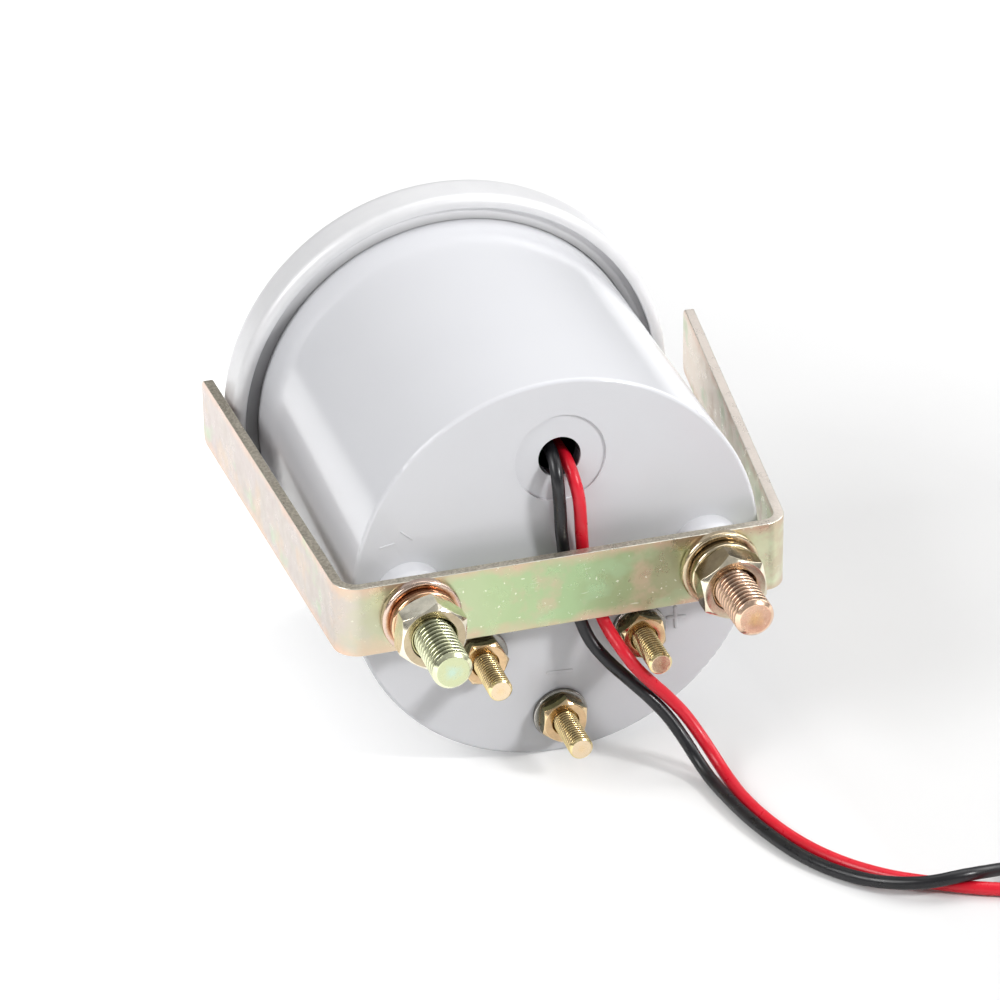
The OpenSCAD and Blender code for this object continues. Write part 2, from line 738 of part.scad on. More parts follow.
case();
bezel();
lens();
lens_gasket();
seal_ring();
trim_ring();
dial();
dial_stops();
pointer();
hub_cap();
pointer_shaft();
magnet();
light_guide();
lamp_board();
lamps();
bobbin_front();
bobbin_rear();
inner_winding();
outer_winding();
movement_can();
circuit_board();
board_spacers();
board_screws();
inner_links();
left_bracket_stud();
right_bracket_stud();
left_terminal_stud();
right_terminal_stud();
bottom_terminal_stud();
bracket();
left_flat_washer();
right_flat_washer();
left_spring_washer();
right_spring_washer();
left_bracket_nut();
right_bracket_nut();
left_terminal_washer();
right_terminal_washer();
bottom_terminal_washer();
left_terminal_nut();
right_terminal_nut();
bottom_terminal_nut();
black_lead();
red_lead();
black_coil();
red_coil();
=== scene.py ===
import json
import math
import bpy
import bmesh
from mathutils import Matrix, Vector


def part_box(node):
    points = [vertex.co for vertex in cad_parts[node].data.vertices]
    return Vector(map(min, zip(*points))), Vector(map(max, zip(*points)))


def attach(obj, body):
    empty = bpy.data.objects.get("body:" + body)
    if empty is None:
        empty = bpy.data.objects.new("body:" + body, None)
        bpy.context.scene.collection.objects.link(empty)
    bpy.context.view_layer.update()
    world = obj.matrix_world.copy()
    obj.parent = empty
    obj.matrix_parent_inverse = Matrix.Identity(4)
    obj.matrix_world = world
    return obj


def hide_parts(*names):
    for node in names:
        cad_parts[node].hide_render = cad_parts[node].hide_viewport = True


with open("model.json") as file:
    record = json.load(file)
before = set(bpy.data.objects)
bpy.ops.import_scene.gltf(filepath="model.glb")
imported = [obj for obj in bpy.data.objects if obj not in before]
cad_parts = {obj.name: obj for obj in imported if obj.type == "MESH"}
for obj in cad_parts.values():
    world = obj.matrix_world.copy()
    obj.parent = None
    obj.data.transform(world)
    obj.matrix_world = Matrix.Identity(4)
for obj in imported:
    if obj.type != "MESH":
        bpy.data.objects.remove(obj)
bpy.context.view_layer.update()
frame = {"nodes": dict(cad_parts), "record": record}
nodes = frame["nodes"]

MM = 0.001
scene = bpy.context.scene
scene.view_settings.view_transform = "Standard"

# Sizes from the CAD, in millimetres
BEZEL_R = 29.5
BEZEL_T = 0.7
BEZEL_FRONT = -8
BEZEL_MOUTH_R = 24.6
CRIMP_MOUTH_R = 27.8
REAR_FACE = 45.8
CABLE_HOLE = (-0.35, 15.5)
CABLE_HOLE_R = 2.7
BOSS_R, BOSS_H, BOSS_ROUND = 4.4, 3.6, 1.6
LEAD_D = 1.6
# The gauge lies on its bezel's rim, which touches at RIM_TOUCH_Y, and on its rear edge: rise over run
TABLE_SLOPE = 3.5 / 46.5
RIM_TOUCH_Y = -1.2

# Studs: radius, thread pitch, width across flats of head and nut, head's height, where the thread starts, the
# end's chamfer, and how far from the end the thread and the painted shade in its grooves stop
BRACKET_STUD = {"r": 2.5, "pitch": 0.8, "across": 8, "head": 3.0, "y_thread": 50.8, "chamfer": 0.5,
                "plain": 0.4, "groove_shade_stop": 0.35}
TERMINAL_STUD = {"r": 1.5, "pitch": 0.5, "across": 5.5, "head": 2.0, "y_thread": 45.9, "chamfer": 0.26,
                 "plain": 0.2, "groove_shade_stop": 0.2}
THREAD_DEPTH_SHARE = 0.61
NUT_CLEARANCE = 0.05
WASHER_CLEARANCE = 0.06

# Sockets of a colour Mix node
MIX_FACTOR, MIX_A, MIX_B = 0, 6, 7
MIX_RESULT = 2


def span(node):
    """Lowest and highest corner of a CAD node, in millimetres."""
    return [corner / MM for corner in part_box(node)]


def axis_of(node):
    """Place (x, z) of a turned CAD node's axis."""
    low, high = span(node)
    return ((low.x + high.x) / 2, (low.z + high.z) / 2)


def table_z(y):
    """Height of the surface that the gauge lies on."""
    return -BEZEL_R + TABLE_SLOPE * (y - RIM_TOUCH_Y)


# Camera at the photo's viewpoint: angles in radians, its place in metres, its lens in millimetres
YAW, PITCH, ROLL = -0.2859, 0.5059, -0.0139
CAMERA_AT = Vector((0.1461373, 0.5180965, 0.2837401))
SENSOR_WIDTH = 36
FOCAL_LENGTH = 168.02
look = Vector((math.sin(YAW) * math.cos(PITCH), -math.cos(YAW) * math.cos(PITCH), -math.sin(PITCH)))
level = look.cross(Vector((0, 0, 1))).normalized()
above = level.cross(look)
right = math.cos(ROLL) * level + math.sin(ROLL) * above
up = -math.sin(ROLL) * level + math.cos(ROLL) * above
camera = bpy.data.objects.new("camera", bpy.data.cameras.new("camera"))
scene.collection.objects.link(camera)
camera.matrix_world = Matrix((
    (right.x, up.x, -look.x, CAMERA_AT.x),
    (right.y, up.y, -look.y, CAMERA_AT.y),
    (right.z, up.z, -look.z, CAMERA_AT.z),
    (0, 0, 0, 1)))
camera.data.sensor_width = SENSOR_WIDTH
camera.data.lens = FOCAL_LENGTH
camera.data.clip_start = 0.02
camera.data.clip_end = 20
scene.camera = camera


# Materials
class Shader:
    """A Principled material, with short calls for the nodes that feed it."""

    def __init__(self, name, base, metallic=0.0, roughness=0.5, **sockets):
        self.material = bpy.data.materials.new(name)
        self.material.use_nodes = True
        self.tree = self.material.node_tree
        self.main = self.tree.nodes["Principled BSDF"]
        source = self.tree.nodes.new("ShaderNodeTexCoord")
        self.coords = source.outputs["Object"]
        self.facing = source.outputs["Normal"]
        self.put("Base Color", base)
        self.put("Metallic", metallic)
        self.put("Roughness", roughness)
        for key, value in sockets.items():
            self.put(key.replace("_", " "), value)

    def feed(self, socket, value):
        """Links a socket to a node's output, or sets it to a plain value or colour."""
        if isinstance(value, bpy.types.NodeSocket):
            self.tree.links.new(value, socket)
        elif socket.type == "RGBA":
            socket.default_value = (*value, 1)
        else:
            socket.default_value = value

    def put(self, socket, value):
        self.feed(self.main.inputs[socket], value)

    def node(self, kind, **inputs):
        made = self.tree.nodes.new(kind)
        for key, value in inputs.items():
            self.feed(made.inputs[key], value)
        return made

    def noise(self, scale, detail=4.0, roughness=0.6, stretch=None):
        """Noise whose scale counts features for each millimetre."""
        source = self.coords
        if stretch:
            source = self.node("ShaderNodeMapping", Vector=self.coords, Scale=stretch).outputs[0]
        return self.node("ShaderNodeTexNoise", Vector=source, Scale=scale / MM, Detail=detail,
                         Roughness=roughness).outputs["Fac"]

    def ramp(self, factor, stops):
        made = self.node("ShaderNodeValToRGB", Fac=factor)
        band = made.color_ramp
        while len(band.elements) < len(stops):
            band.elements.new(0.5)
        for element, (position, colour) in zip(band.elements, stops):
            element.position = position
            element.color = (*colour, 1)
        return made.outputs["Color"]

    def grey(self, factor, low, high, start=0.0, end=1.0):
        """Takes a factor that runs from start to end to a value that runs from low to high."""
        made = self.node("ShaderNodeMapRange", Value=factor)
        for key, value in (("From Min", start), ("From Max", end), ("To Min", low), ("To Max", high)):
            made.inputs[key].default_value = value
        return made.outputs["Result"]

    def mix(self, factor, a, b, blend="MIX"):
        made = self.tree.nodes.new("ShaderNodeMix")
        made.data_type = "RGBA"
        made.blend_type = blend
        for index, value in ((MIX_FACTOR, factor), (MIX_A, a), (MIX_B, b)):
            self.feed(made.inputs[index], value)
        return made.outputs[MIX_RESULT]

    def math(self, operation, a, b=0.0):
        made = self.tree.nodes.new("ShaderNodeMath")
        made.operation = operation
        for socket, value in zip(made.inputs, (a, b)):
            self.feed(socket, value)
        return made.outputs[0]

    def axis(self, name):
        """A coordinate of the surface, in metres."""
        return self.node("ShaderNodeSeparateXYZ", Vector=self.coords).outputs[name]

    def turned_to(self, name):
        """How squarely the surface faces along an axis, from 0 to 1."""
        return self.math("ABSOLUTE", self.node("ShaderNodeSeparateXYZ", Vector=self.facing).outputs[name])

    def from_axis(self, centre):
        """Distance from an axis along Y through a centre (x, z), in metres."""
        x = self.math("SUBTRACT", self.axis("X"), centre[0] * MM)
        z = self.math("SUBTRACT", self.axis("Z"), centre[1] * MM)
        return self.math("SQRT", self.math("ADD", self.math("MULTIPLY", x, x), self.math("MULTIPLY", z, z)))

    def bump(self, height, depth):
        """Bump of a depth in millimetres."""
        made = self.node("ShaderNodeBump", Height=height, Strength=1.0, Distance=depth * MM)
        self.put("Normal", made.outputs["Normal"])


def plastic(name, base, roughness, grain=3.0, depth=0.004, shade=0.06):
    """Plastic or paint with faint clouds and a fine grain."""
    s = Shader(name, base, 0.0, roughness)
    dark = tuple(c * (1 - shade) for c in base)
    s.put("Base Color", s.ramp(s.noise(0.12, 3), [(0.3, dark), (0.7, base)]))
    s.put("Roughness", s.grey(s.noise(0.4, 5), roughness * 0.8, roughness * 1.25, 0.3, 0.7))
    s.bump(s.noise(grain, 3), depth)
    return s.material


def metal(name, base, roughness, other=None, grain=1.2, depth=0.004, stretch=None):
    """Metal in two mingled tints, with a grain that may be stretched along an axis."""
    s = Shader(name, base, 1.0, roughness)
    other = other or tuple(c * 0.82 for c in base)
    s.put("Base Color", s.ramp(s.noise(0.5, 5, 0.65), [(0.35, other), (0.65, base)]))
    s.put("Roughness", s.grey(s.noise(1.5, 4, 0.6, stretch), roughness * 0.7, roughness * 1.4, 0.3, 0.7))
    s.bump(s.noise(grain, 4, 0.6, stretch), depth)
    return s.material


def case_plastic():
    """Grey-white moulding, with painted shade darkening the wall of the cable hole."""
    s = Shader("case_plastic", (0.65, 0.655, 0.685), 0.0, 0.14)
    cloud = s.ramp(s.noise(0.03, 2), [(0.3, (0.635, 0.64, 0.667)), (0.7, (0.655, 0.66, 0.685))])
    hole_wall_shade_mask = s.grey(s.from_axis(CABLE_HOLE), 1.0, 0.0, CABLE_HOLE_R * MM, (CABLE_HOLE_R + 0.1) * MM)
    inside = s.grey(s.axis("Y"), 1.0, 0.0, (REAR_FACE - 0.7) * MM, (REAR_FACE - 0.4) * MM)
    # Painted shade: the wall deep in the cable hole is coloured dark
    dark = (0.10, 0.10, 0.11)
    s.put("Base Color", s.mix(s.math("MULTIPLY", hole_wall_shade_mask, inside), cloud, dark))
    s.put("Roughness", s.grey(s.noise(0.5, 5), 0.11, 0.18, 0.3, 0.7))
    s.bump(s.noise(1.1, 2), 0.0008)
    return s.material


def bezel_satin():
    """Satin silver-white finish of the bezel."""
    s = Shader("bezel_satin", (0.71, 0.71, 0.72), 0.10, 0.48)
    cloud = s.ramp(s.noise(0.4, 4), [(0.3, (0.695, 0.695, 0.708)), (0.7, (0.725, 0.725, 0.735))])
    s.put("Base Color", cloud)
    s.put("Roughness", s.grey(s.noise(2.2, 4), 0.33, 0.43, 0.3, 0.7))
    s.bump(s.noise(5.0, 2), 0.0006)
    return s.material


def groove_seal():
    """Grey ring at the bottom of a narrow groove, with painted shade: pale on top, dark down its sides, and
    darker towards the case.
    """
    s = Shader("grey_seal", (0.4, 0.4, 0.42), 0.0, 0.5)
    # Painted shade: darker towards the case, and darker down the sides than on top
    depth = s.grey(s.from_axis((0, 0)), 0.5, 1.0, 26.0 * MM, 27.4 * MM)
    shade = s.ramp(s.grey(s.axis("Z"), 0.0, 1.0, 6 * MM, 27 * MM),
                   [(0.0, (0.30, 0.30, 0.31)), (0.4, (0.45, 0.45, 0.46)), (1.0, (0.90, 0.90, 0.91))])
    s.put("Base Color", s.mix(1.0, shade, depth, "MULTIPLY"))
    s.put("Roughness", s.grey(s.noise(0.8, 4), 0.4, 0.6, 0.3, 0.7))
    s.bump(s.noise(1.5, 4), 0.01)
    return s.material


# Colour of the bracket's film along X, in millimetres, from the photo's right to its left
BRACKET_FILM = [
    (-36, (0.82, 0.71, 0.62)), (-30, (0.80, 0.72, 0.60)), (-27, (0.76, 0.79, 0.57)),
    (-23, (0.70, 0.77, 0.51)), (-16, (0.42, 0.43, 0.28)), (-8, (0.34, 0.40, 0.22)),
    (0, (0.40, 0.54, 0.30)), (9, (0.45, 0.56, 0.32)), (17, (0.50, 0.57, 0.36)),
    (25, (0.48, 0.48, 0.34)), (28.5, (0.51, 0.46, 0.41)), (33, (0.52, 0.45, 0.43))]


def bracket_zinc():
    """Yellow-green film that turns pink towards the strip's edges, with sheared grey-brown side faces; a
    painted highlight lies on the rounded edges, and on the sheared faces towards -X.
    """
    pink_edge, pink_cloud, green_cloud = (0.68, 0.47, 0.35), (0.62, 0.48, 0.35), (0.42, 0.60, 0.36)
    speck_tint, edge_painted_highlight = (0.84, 0.86, 0.72), (0.78, 0.77, 0.68)
    sheared_dark, sheared_light, sheared_painted_highlight = (0.38, 0.34, 0.27), (0.68, 0.63, 0.53), (0.95, 0.86, 0.79)
    s = Shader("bracket_zinc", (0.5, 0.55, 0.4), 1.0, 0.3)
    low, high = BRACKET_FILM[0][0], BRACKET_FILM[-1][0]
    wander = s.math("MULTIPLY", s.math("SUBTRACT", s.noise(0.2, 4), 0.5), 9 * MM)
    along = s.grey(s.math("ADD", s.axis("X"), wander), 0.0, 1.0, low * MM, high * MM)
    tint = s.ramp(along, [((x - low) / (high - low), colour) for x, colour in BRACKET_FILM])
    across = s.math("ABSOLUTE", s.axis("Z"))
    ragged = s.math("ADD", across, s.math("MULTIPLY", s.noise(0.22, 4, 0.6), 3.2 * MM))
    tint = s.mix(s.grey(ragged, 0.0, 0.8, 4.9 * MM, 6.4 * MM), tint, pink_edge)
    tint = s.mix(s.grey(s.noise(0.16, 4, 0.6), 0.0, 0.6, 0.52, 0.64), tint, pink_cloud)
    tint = s.mix(s.grey(s.noise(0.13, 3, 0.5, (1, 1, 1.3)), 0.0, 0.5, 0.58, 0.68), tint, green_cloud)
    specks = s.grey(s.noise(1.9, 2, 0.5), 0.0, 0.8, 0.70, 0.74)
    nicks = s.grey(s.noise(0.9, 2, 0.5, (0.35, 1, 1.6)), 0.0, 0.5, 0.72, 0.75)
    on_web = s.grey(s.math("ABSOLUTE", s.axis("X")), 1.0, 0.1, 22 * MM, 30 * MM)
    tint = s.mix(s.math("MULTIPLY", s.math("MAXIMUM", specks, nicks), on_web), tint, speck_tint)
    sheared = s.ramp(s.noise(2.6, 4, 0.7), [(0.36, sheared_dark), (0.66, sheared_light)])
    # Painted highlight: the sheared side faces towards -X turn pale and less metallic
    right_edge_highlight_mask = s.grey(s.axis("X"), 0.0, 0.8, -22 * MM, -29 * MM)
    sheared = s.mix(right_edge_highlight_mask, sheared, sheared_painted_highlight)
    side = s.turned_to("Z")
    # Painted highlight: a pale band on the rounded edges between the faces and the sheared sides
    tint = s.mix(s.grey(side, 0.0, 1.0, 0.3, 0.55), tint, edge_painted_highlight)
    cut = s.grey(side, 0.0, 1.0, 0.86, 0.96)
    tint = s.mix(cut, tint, sheared)
    # Metallic drops on the sheared faces, and further where the painted highlight is
    bare = s.math("MULTIPLY", cut, s.math("ADD", 0.15, s.math("MULTIPLY", right_edge_highlight_mask, 0.5)))
    s.put("Metallic", s.math("SUBTRACT", 1.0, bare))
    s.put("Base Color", tint)
    s.put("Roughness", s.grey(s.noise(0.5, 5), 0.24, 0.4, 0.3, 0.7))
    s.bump(s.noise(1.1, 5, 0.7), 0.004)
    return s.material


def plated(name, face, flank, bevel, roughness=0.2):
    """Plated steel with painted reflection: one colour across its axis, one on its sides, and a painted
    highlight on its bevels.
    """
    s = Shader(name, face, 1.0, roughness)
    uneven = s.math("MULTIPLY", s.math("SUBTRACT", s.noise(0.7, 3), 0.5), 0.25)
    facing = s.math("ADD", s.turned_to("Y"), uneven)
    # Painted reflection and highlight: the colour changes with the way the surface faces
    tint = s.ramp(facing, [(0.16, flank), (0.34, bevel), (0.82, bevel), (0.95, face)])
    tint = s.mix(1.0, tint, s.grey(s.noise(0.5, 5, 0.65), 0.72, 1.08, 0.32, 0.68), "MULTIPLY")
    s.put("Base Color", tint)
    s.put("Roughness", s.grey(s.noise(1.5, 4), roughness * 0.7, roughness * 1.5, 0.3, 0.7))
    s.bump(s.noise(1.0, 4), 0.004)
    return s.material


def washer_zinc(name, node, inner, middle, rim):
    """Washer film in rings, with painted shade dark beside the next washer, the warm film between, then a
    painted highlight on the rounded rim.
    """
    s = Shader(name, rim, 1.0, 0.22)
    uneven = s.math("MULTIPLY", s.math("SUBTRACT", s.noise(0.5, 3), 0.5), 0.8 * MM)
    out = s.grey(s.math("ADD", s.from_axis(axis_of(node)), uneven), 0.0, 1.0, 4.0 * MM, 5.0 * MM)
    # Painted shade beside the next washer and a painted highlight on the rounded rim
    s.put("Base Color", s.ramp(out, [(0.2, inner), (0.45, middle), (0.72, rim), (1.0, rim)]))
    s.put("Roughness", s.grey(s.noise(1.4, 4), 0.16, 0.3, 0.3, 0.7))
    s.bump(s.noise(1.0, 4), 0.003)
    return s.material


def thread_zinc(name, node, size, crest, root_painted_shade, tip, spot):
    """Film on a stud: pale crests, painted shade in the grooves, and an end disc with a spot of another
    colour.
    """
    radius = size["r"]
    depth = size["pitch"] * THREAD_DEPTH_SHARE
    thread_end = span(node)[1].y - size["groove_shade_stop"]
    s = Shader(name, crest, 1.0, 0.2)
    away = s.from_axis(axis_of(node))
    film = s.mix(1.0, crest, s.grey(s.noise(0.6, 4), 0.7, 1.08, 0.3, 0.65), "MULTIPLY")
    # Painted shade: the thread's grooves darken towards their roots
    groove_painted_shade = s.grey(away, 1.0, 0.0, (radius - depth * 0.5) * MM, radius * MM)
    threaded = s.grey(s.axis("Y"), 1.0, 0.0, (thread_end - 0.3) * MM, thread_end * MM)
    side = s.mix(s.math("MULTIPLY", groove_painted_shade, threaded), film, root_painted_shade)
    middle = s.math("ADD", away, s.math("MULTIPLY", s.math("SUBTRACT", s.noise(0.9, 3), 0.5), radius * MM))
    disc = s.mix(s.grey(middle, 0.8, 0.0, radius * 0.1 * MM, radius * 0.5 * MM), tip, spot)
    s.put("Base Color", s.mix(s.grey(s.turned_to("Y"), 0.0, 1.0, 0.86, 0.96), side, disc))
    s.put("Roughness", s.grey(s.noise(1.2, 4), 0.16, 0.3, 0.3, 0.7))
    s.bump(s.noise(1.6, 4), 0.004)
    return s.material


def sheath(name, base, light):
    """Soft skin of a lead."""
    s = Shader(name, base, 0.0, 0.30, Specular_IOR_Level=0.45)
    s.put("Base Color", s.ramp(s.noise(0.3, 4), [(0.35, base), (0.75, light)]))
    s.put("Roughness", s.grey(s.noise(0.8, 4), 0.24, 0.40, 0.3, 0.7))
    s.bump(s.noise(1.4, 4), 0.008)
    return s.material


def clear(name, tint, roughness=0.03):
    """Clear plastic."""
    s = Shader(name, tint, 0.0, roughness, IOR=1.49)
    s.put("Transmission Weight", 1.0)
    s.put("Roughness", s.grey(s.noise(0.2, 3), roughness * 0.6, roughness * 1.6, 0.3, 0.7))
    return s.material


MATERIALS = {
    "case": case_plastic(),
    "bezel": bezel_satin(),
    "lens": clear("clear_lens", (0.97, 0.985, 0.985)),
    "gasket": plastic("black_rubber", (0.02, 0.02, 0.021), 0.6, 1.5, 0.01),
    "seal": groove_seal(),
    "black_plastic": plastic("black_moulding", (0.018, 0.018, 0.018), 0.55, 2.5, 0.006),
    "dial": plastic("dial_black", (0.010, 0.010, 0.011), 0.75, 3.0, 0.001),
    "pointer": plastic("pointer_orange", (0.85, 0.16, 0.02), 0.5, 3.0, 0.002),
    "magnet": metal("dark_magnet", (0.14, 0.14, 0.15), 0.5),
    "light_guide": clear("clear_disc", (0.93, 0.95, 0.96), 0.08),
    "board": plastic("board_green", (0.02, 0.13, 0.05), 0.35, 1.0, 0.01, 0.3),
    "lamps": plastic("lamp_resin", (0.85, 0.75, 0.35), 0.3),
    "copper": metal("copper_wire", (0.72, 0.34, 0.17), 0.35, (0.5, 0.2, 0.1), 2.0, 0.03, (0.1, 1.0, 0.1)),
    "plain_steel": metal("plain_steel", (0.6, 0.6, 0.61), 0.32),
    "white_plastic": plastic("natural_nylon", (0.72, 0.71, 0.66), 0.5),
    "left_stud": thread_zinc("yellow_zinc_stud", "left_bracket_stud", BRACKET_STUD, (0.82, 0.84, 0.58),
                             (0.05, 0.05, 0.02), (0.57, 0.61, 0.38), (0.50, 0.66, 0.56)),
    "right_stud": thread_zinc("copper_zinc_stud", "right_bracket_stud", BRACKET_STUD, (0.90, 0.64, 0.47),
                              (0.08, 0.03, 0.02), (0.98, 0.70, 0.50), (0.98, 0.68, 0.32)),
    "terminal_stud": metal("gold_terminal", (0.79, 0.58, 0.35), 0.22, (0.62, 0.44, 0.24)),
    "bracket": bracket_zinc(),
    "flat_washer": washer_zinc("copper_zinc_washer", "left_flat_washer", (0.22, 0.09, 0.04),
                               (0.52, 0.29, 0.17), (0.62, 0.48, 0.40)),
    "spring_washer": plated("copper_spring_washer", (0.50, 0.30, 0.18), (0.34, 0.17, 0.09),
                            (0.86, 0.56, 0.36), 0.16),
    "bracket_nut": plated("champagne_nut", (0.52, 0.43, 0.29), (0.95, 0.90, 0.73), (0.92, 0.86, 0.70), 0.15),
    "terminal_washer": plated("nickel_washer", (0.30, 0.29, 0.27), (0.22, 0.21, 0.19), (0.55, 0.53, 0.48)),
    "terminal_nut": plated("gold_nut", (0.74, 0.52, 0.30), (0.24, 0.22, 0.10), (0.92, 0.70, 0.42), 0.16),
    "black_lead": sheath("black_sheath", (0.007, 0.007, 0.009), (0.013, 0.013, 0.015)),
    "red_lead": sheath("red_sheath", (0.62, 0.006, 0.020), (0.70, 0.012, 0.032)),
}
# The washers and nut of the right bracket stud have an olive film of their own
OLIVE_WASHER = washer_zinc("olive_washer", "right_flat_washer", (0.12, 0.09, 0.05), (0.46, 0.33, 0.20),
                           (0.58, 0.48, 0.33))
OLIVE_SPRING = plated("olive_spring_washer", (0.40, 0.33, 0.20), (0.26, 0.20, 0.11), (0.80, 0.68, 0.48), 0.16)
OLIVE_NUT = plated("olive_nut", (0.68, 0.58, 0.43), (0.34, 0.27, 0.16), (0.92, 0.84, 0.66), 0.15)
for part in frame["record"]["subparts"]:
    holder = nodes[part["node"]]
    holder.data.materials.clear()
    holder.data.materials.append(MATERIALS[part["material_slot"]])


# Mesh helpers
def piece(name, verts, faces, body, slot, stands_for=(), sharp=32, material=None):
    """A mesh piece from points in millimetres."""
    mesh = bpy.data.meshes.new(name)
    mesh.from_pydata([(x * MM, y * MM, z * MM) for x, y, z in verts], [], faces)
    bm = bmesh.new()
    bm.from_mesh(mesh)
    bmesh.ops.recalc_face_normals(bm, faces=bm.faces)
    bm.to_mesh(mesh)
    bm.free()
    return add_piece(name, mesh, body, slot, stands_for, sharp, material)


def add_piece(name, mesh, body, slot, stands_for=(), sharp=32, material=None):
    """Puts a mesh in the scene on a body, smooth but for edges sharper than an angle in degrees."""
    mesh.materials.clear()
    mesh.materials.append(material or MATERIALS[slot])
    mesh.polygons.foreach_set("use_smooth", [True] * len(mesh.polygons))
    mesh.set_sharp_from_angle(angle=math.radians(sharp))
    made = bpy.data.objects.new(name, mesh)
    scene.collection.objects.link(made)
    level_faces = made.modifiers.new("level_faces", "WEIGHTED_NORMAL")
    level_faces.weight = 100
    level_faces.keep_sharp = True
    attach(made, body)
    if stands_for:
        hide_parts(*stands_for)
    return made


def rounded(points, radii, steps=4):
    """The closed outline through the points, with each corner rounded by its radius."""
    out = []
    count = len(points)
    for i, (point, r) in enumerate(zip(points, radii)):
        p = Vector(point)
        a = (Vector(points[i - 1]) - p).normalized()
        b = (Vector(points[(i + 1) % count]) - p).normalized()
        half = a.angle(b) / 2
        if r <= 0 or half > math.radians(88):
            out.append(tuple(p))
            continue
        cut = r / math.tan(half)
        centre = p + (a + b).normalized() * (r / math.sin(half))
        start, end = p + a * cut - centre, p + b * cut - centre
        turn = start.angle_signed(end)
        for k in range(steps + 1):
            t = -turn * k / steps
            out.append((centre.x + start.x * math.cos(t) - start.y * math.sin(t),
                        centre.y + start.x * math.sin(t) + start.y * math.cos(t)))
    return out


def spin(name, sections, angles, centre, body, slot, stands_for=(), closed=True, ring=True, sharp=32,
         material=None):
    """A grid of sections of (radius, y) round an axis along Y; open sections start and end on the axis."""
    cx, cz = centre
    verts, faces = [], []
    rows = len(sections[0])
    for angle, section in zip(angles, sections):
        for r, y in section:
            verts.append((cx + r * math.cos(angle), y, cz + r * math.sin(angle)))
    count = len(angles)
    loops = count if ring else count - 1
    for i in range(loops):
        j = (i + 1) % count
        for k in range(rows if closed else rows - 1):
            m = (k + 1) % rows
            faces.append((i * rows + k, i * rows + m, j * rows + m, j * rows + k))
    if not ring:
        faces.append(tuple(range(rows)))
        faces.append(tuple((count - 1) * rows + k for k in range(rows)))
    if not closed:
        for k in (0, rows - 1):
            y = sections[0][k][1]
            verts.append((cx, y, cz))
            hub = len(verts) - 1
            for i in range(loops):
                faces.append((hub, i * rows + k, ((i + 1) % count) * rows + k))
    return piece(name, verts, faces, body, slot, stands_for, sharp, material)


def even_angles(count):
    return [2 * math.pi * k / count for k in range(count)]


def lathe(name, outline, count, centre, body, slot, stands_for=(), sharp=32, material=None):
    """A closed outline of (radius, y) turned round an axis along Y."""
    return spin(name, [outline] * count, even_angles(count), centre, body, slot, stands_for, sharp=sharp,
                material=material)


def hex_columns(across, turn, corner=0.16, flat_steps=10, corner_steps=4):
    """Angles and radii round a hexagon with rounded corners; its first corner is at turn."""
    flat = across / 2
    reach = flat * math.tan(math.radians(30)) - corner * math.tan(math.radians(30))
    out = []
    for side in range(6):
        middle = turn + 30 + 60 * side
        for k in range(flat_steps + 1):
            along = -reach + 2 * reach * k / flat_steps
            out.append((middle + math.degrees(math.atan2(along, flat)), math.hypot(along, flat)))
        near = (flat - corner) / math.cos(math.radians(30))
        for k in range(1, corner_steps):
            lean = -30 + 60 * k / corner_steps
            x = near + corner * math.cos(math.radians(lean))
            y = corner * math.sin(math.radians(lean))
            out.append((middle + 30 + math.degrees(math.atan2(y, x)), math.hypot(x, y)))
    return [(math.radians(a), r) for a, r in out]


def nut(name, node, size, turn, body, slot, material=None):
    """Hexagon nut in a CAD nut's place, chamfered at both ends, with a countersunk bore."""
    y0, y1 = (corner.y for corner in span(node))
    across = size["across"]
    bore = size["r"] + NUT_CLEARANCE
    sink = bore * 0.14
    rim = across * 0.48
    sections, angles = [], []
    for angle, r in hex_columns(across, turn):
        drop = (r - rim) * 0.9
        points = [(bore, y0 + sink), (bore + sink, y0), (rim, y0), (r, y0 + drop),
                  (r, y1 - drop), (rim, y1), (bore + sink, y1), (bore, y1 - sink)]
        sections.append(rounded(points, [0, 0.03, 0.08, 0.08, 0.08, 0.08, 0.06, 0], 3))
        angles.append(angle)
    return spin(name, sections, angles, axis_of(node), body, slot, (node,), sharp=28, material=material)


def stud(name, node, size, turn, slot, material=None):
    """Stud with a hexagon head inside the case and a right-handed thread that fades out before its end."""
    r, pitch, y_thread, chamfer = size["r"], size["pitch"], size["y_thread"], size["chamfer"]
    y_head, y_end = (corner.y for corner in span(node))
    y_neck = y_head + size["head"]
    depth = pitch * THREAD_DEPTH_SHARE
    nose, fade = chamfer * 0.95, pitch * 0.6
    steps = 16
    count = round((y_end - y_thread) / pitch * steps)
    rows = [y_thread + (y_end - y_thread) * k / count for k in range(count + 1)]
    sections, angles = [], []
    for angle, hex_r in hex_columns(size["across"], turn, flat_steps=7, corner_steps=3):
        section = [(hex_r, y_head), (hex_r, y_neck), (r, y_neck), (r, y_thread - 0.3)]
        for y in rows:
            # A wave with narrow flats and rounded shoulders: 0 in the groove, 1 on the crest
            wave = abs(2 * ((y / pitch + angle / (2 * math.pi)) % 1.0) - 1)
            crest = min(1.0, max(0.0, (wave - 0.1) / 0.72))
            crest = crest * crest * (3 - 2 * crest) * 0.4 + crest * 0.6
            cut = min(1.0, (y - y_thread) / pitch, max(0.0, (y_end - size["plain"] - y) / fade))
            tip = max(0.0, (y - y_end + nose) / nose)
            section.append((min(r - depth * (1 - crest) * cut, r - chamfer * tip ** 1.15), y))
        section.append((r - chamfer - 0.1, y_end))
        sections.append(section)
        angles.append(angle)
    return spin(name, sections, angles, axis_of(node), "gauge", slot, (node,), closed=False, sharp=50,
                material=material)


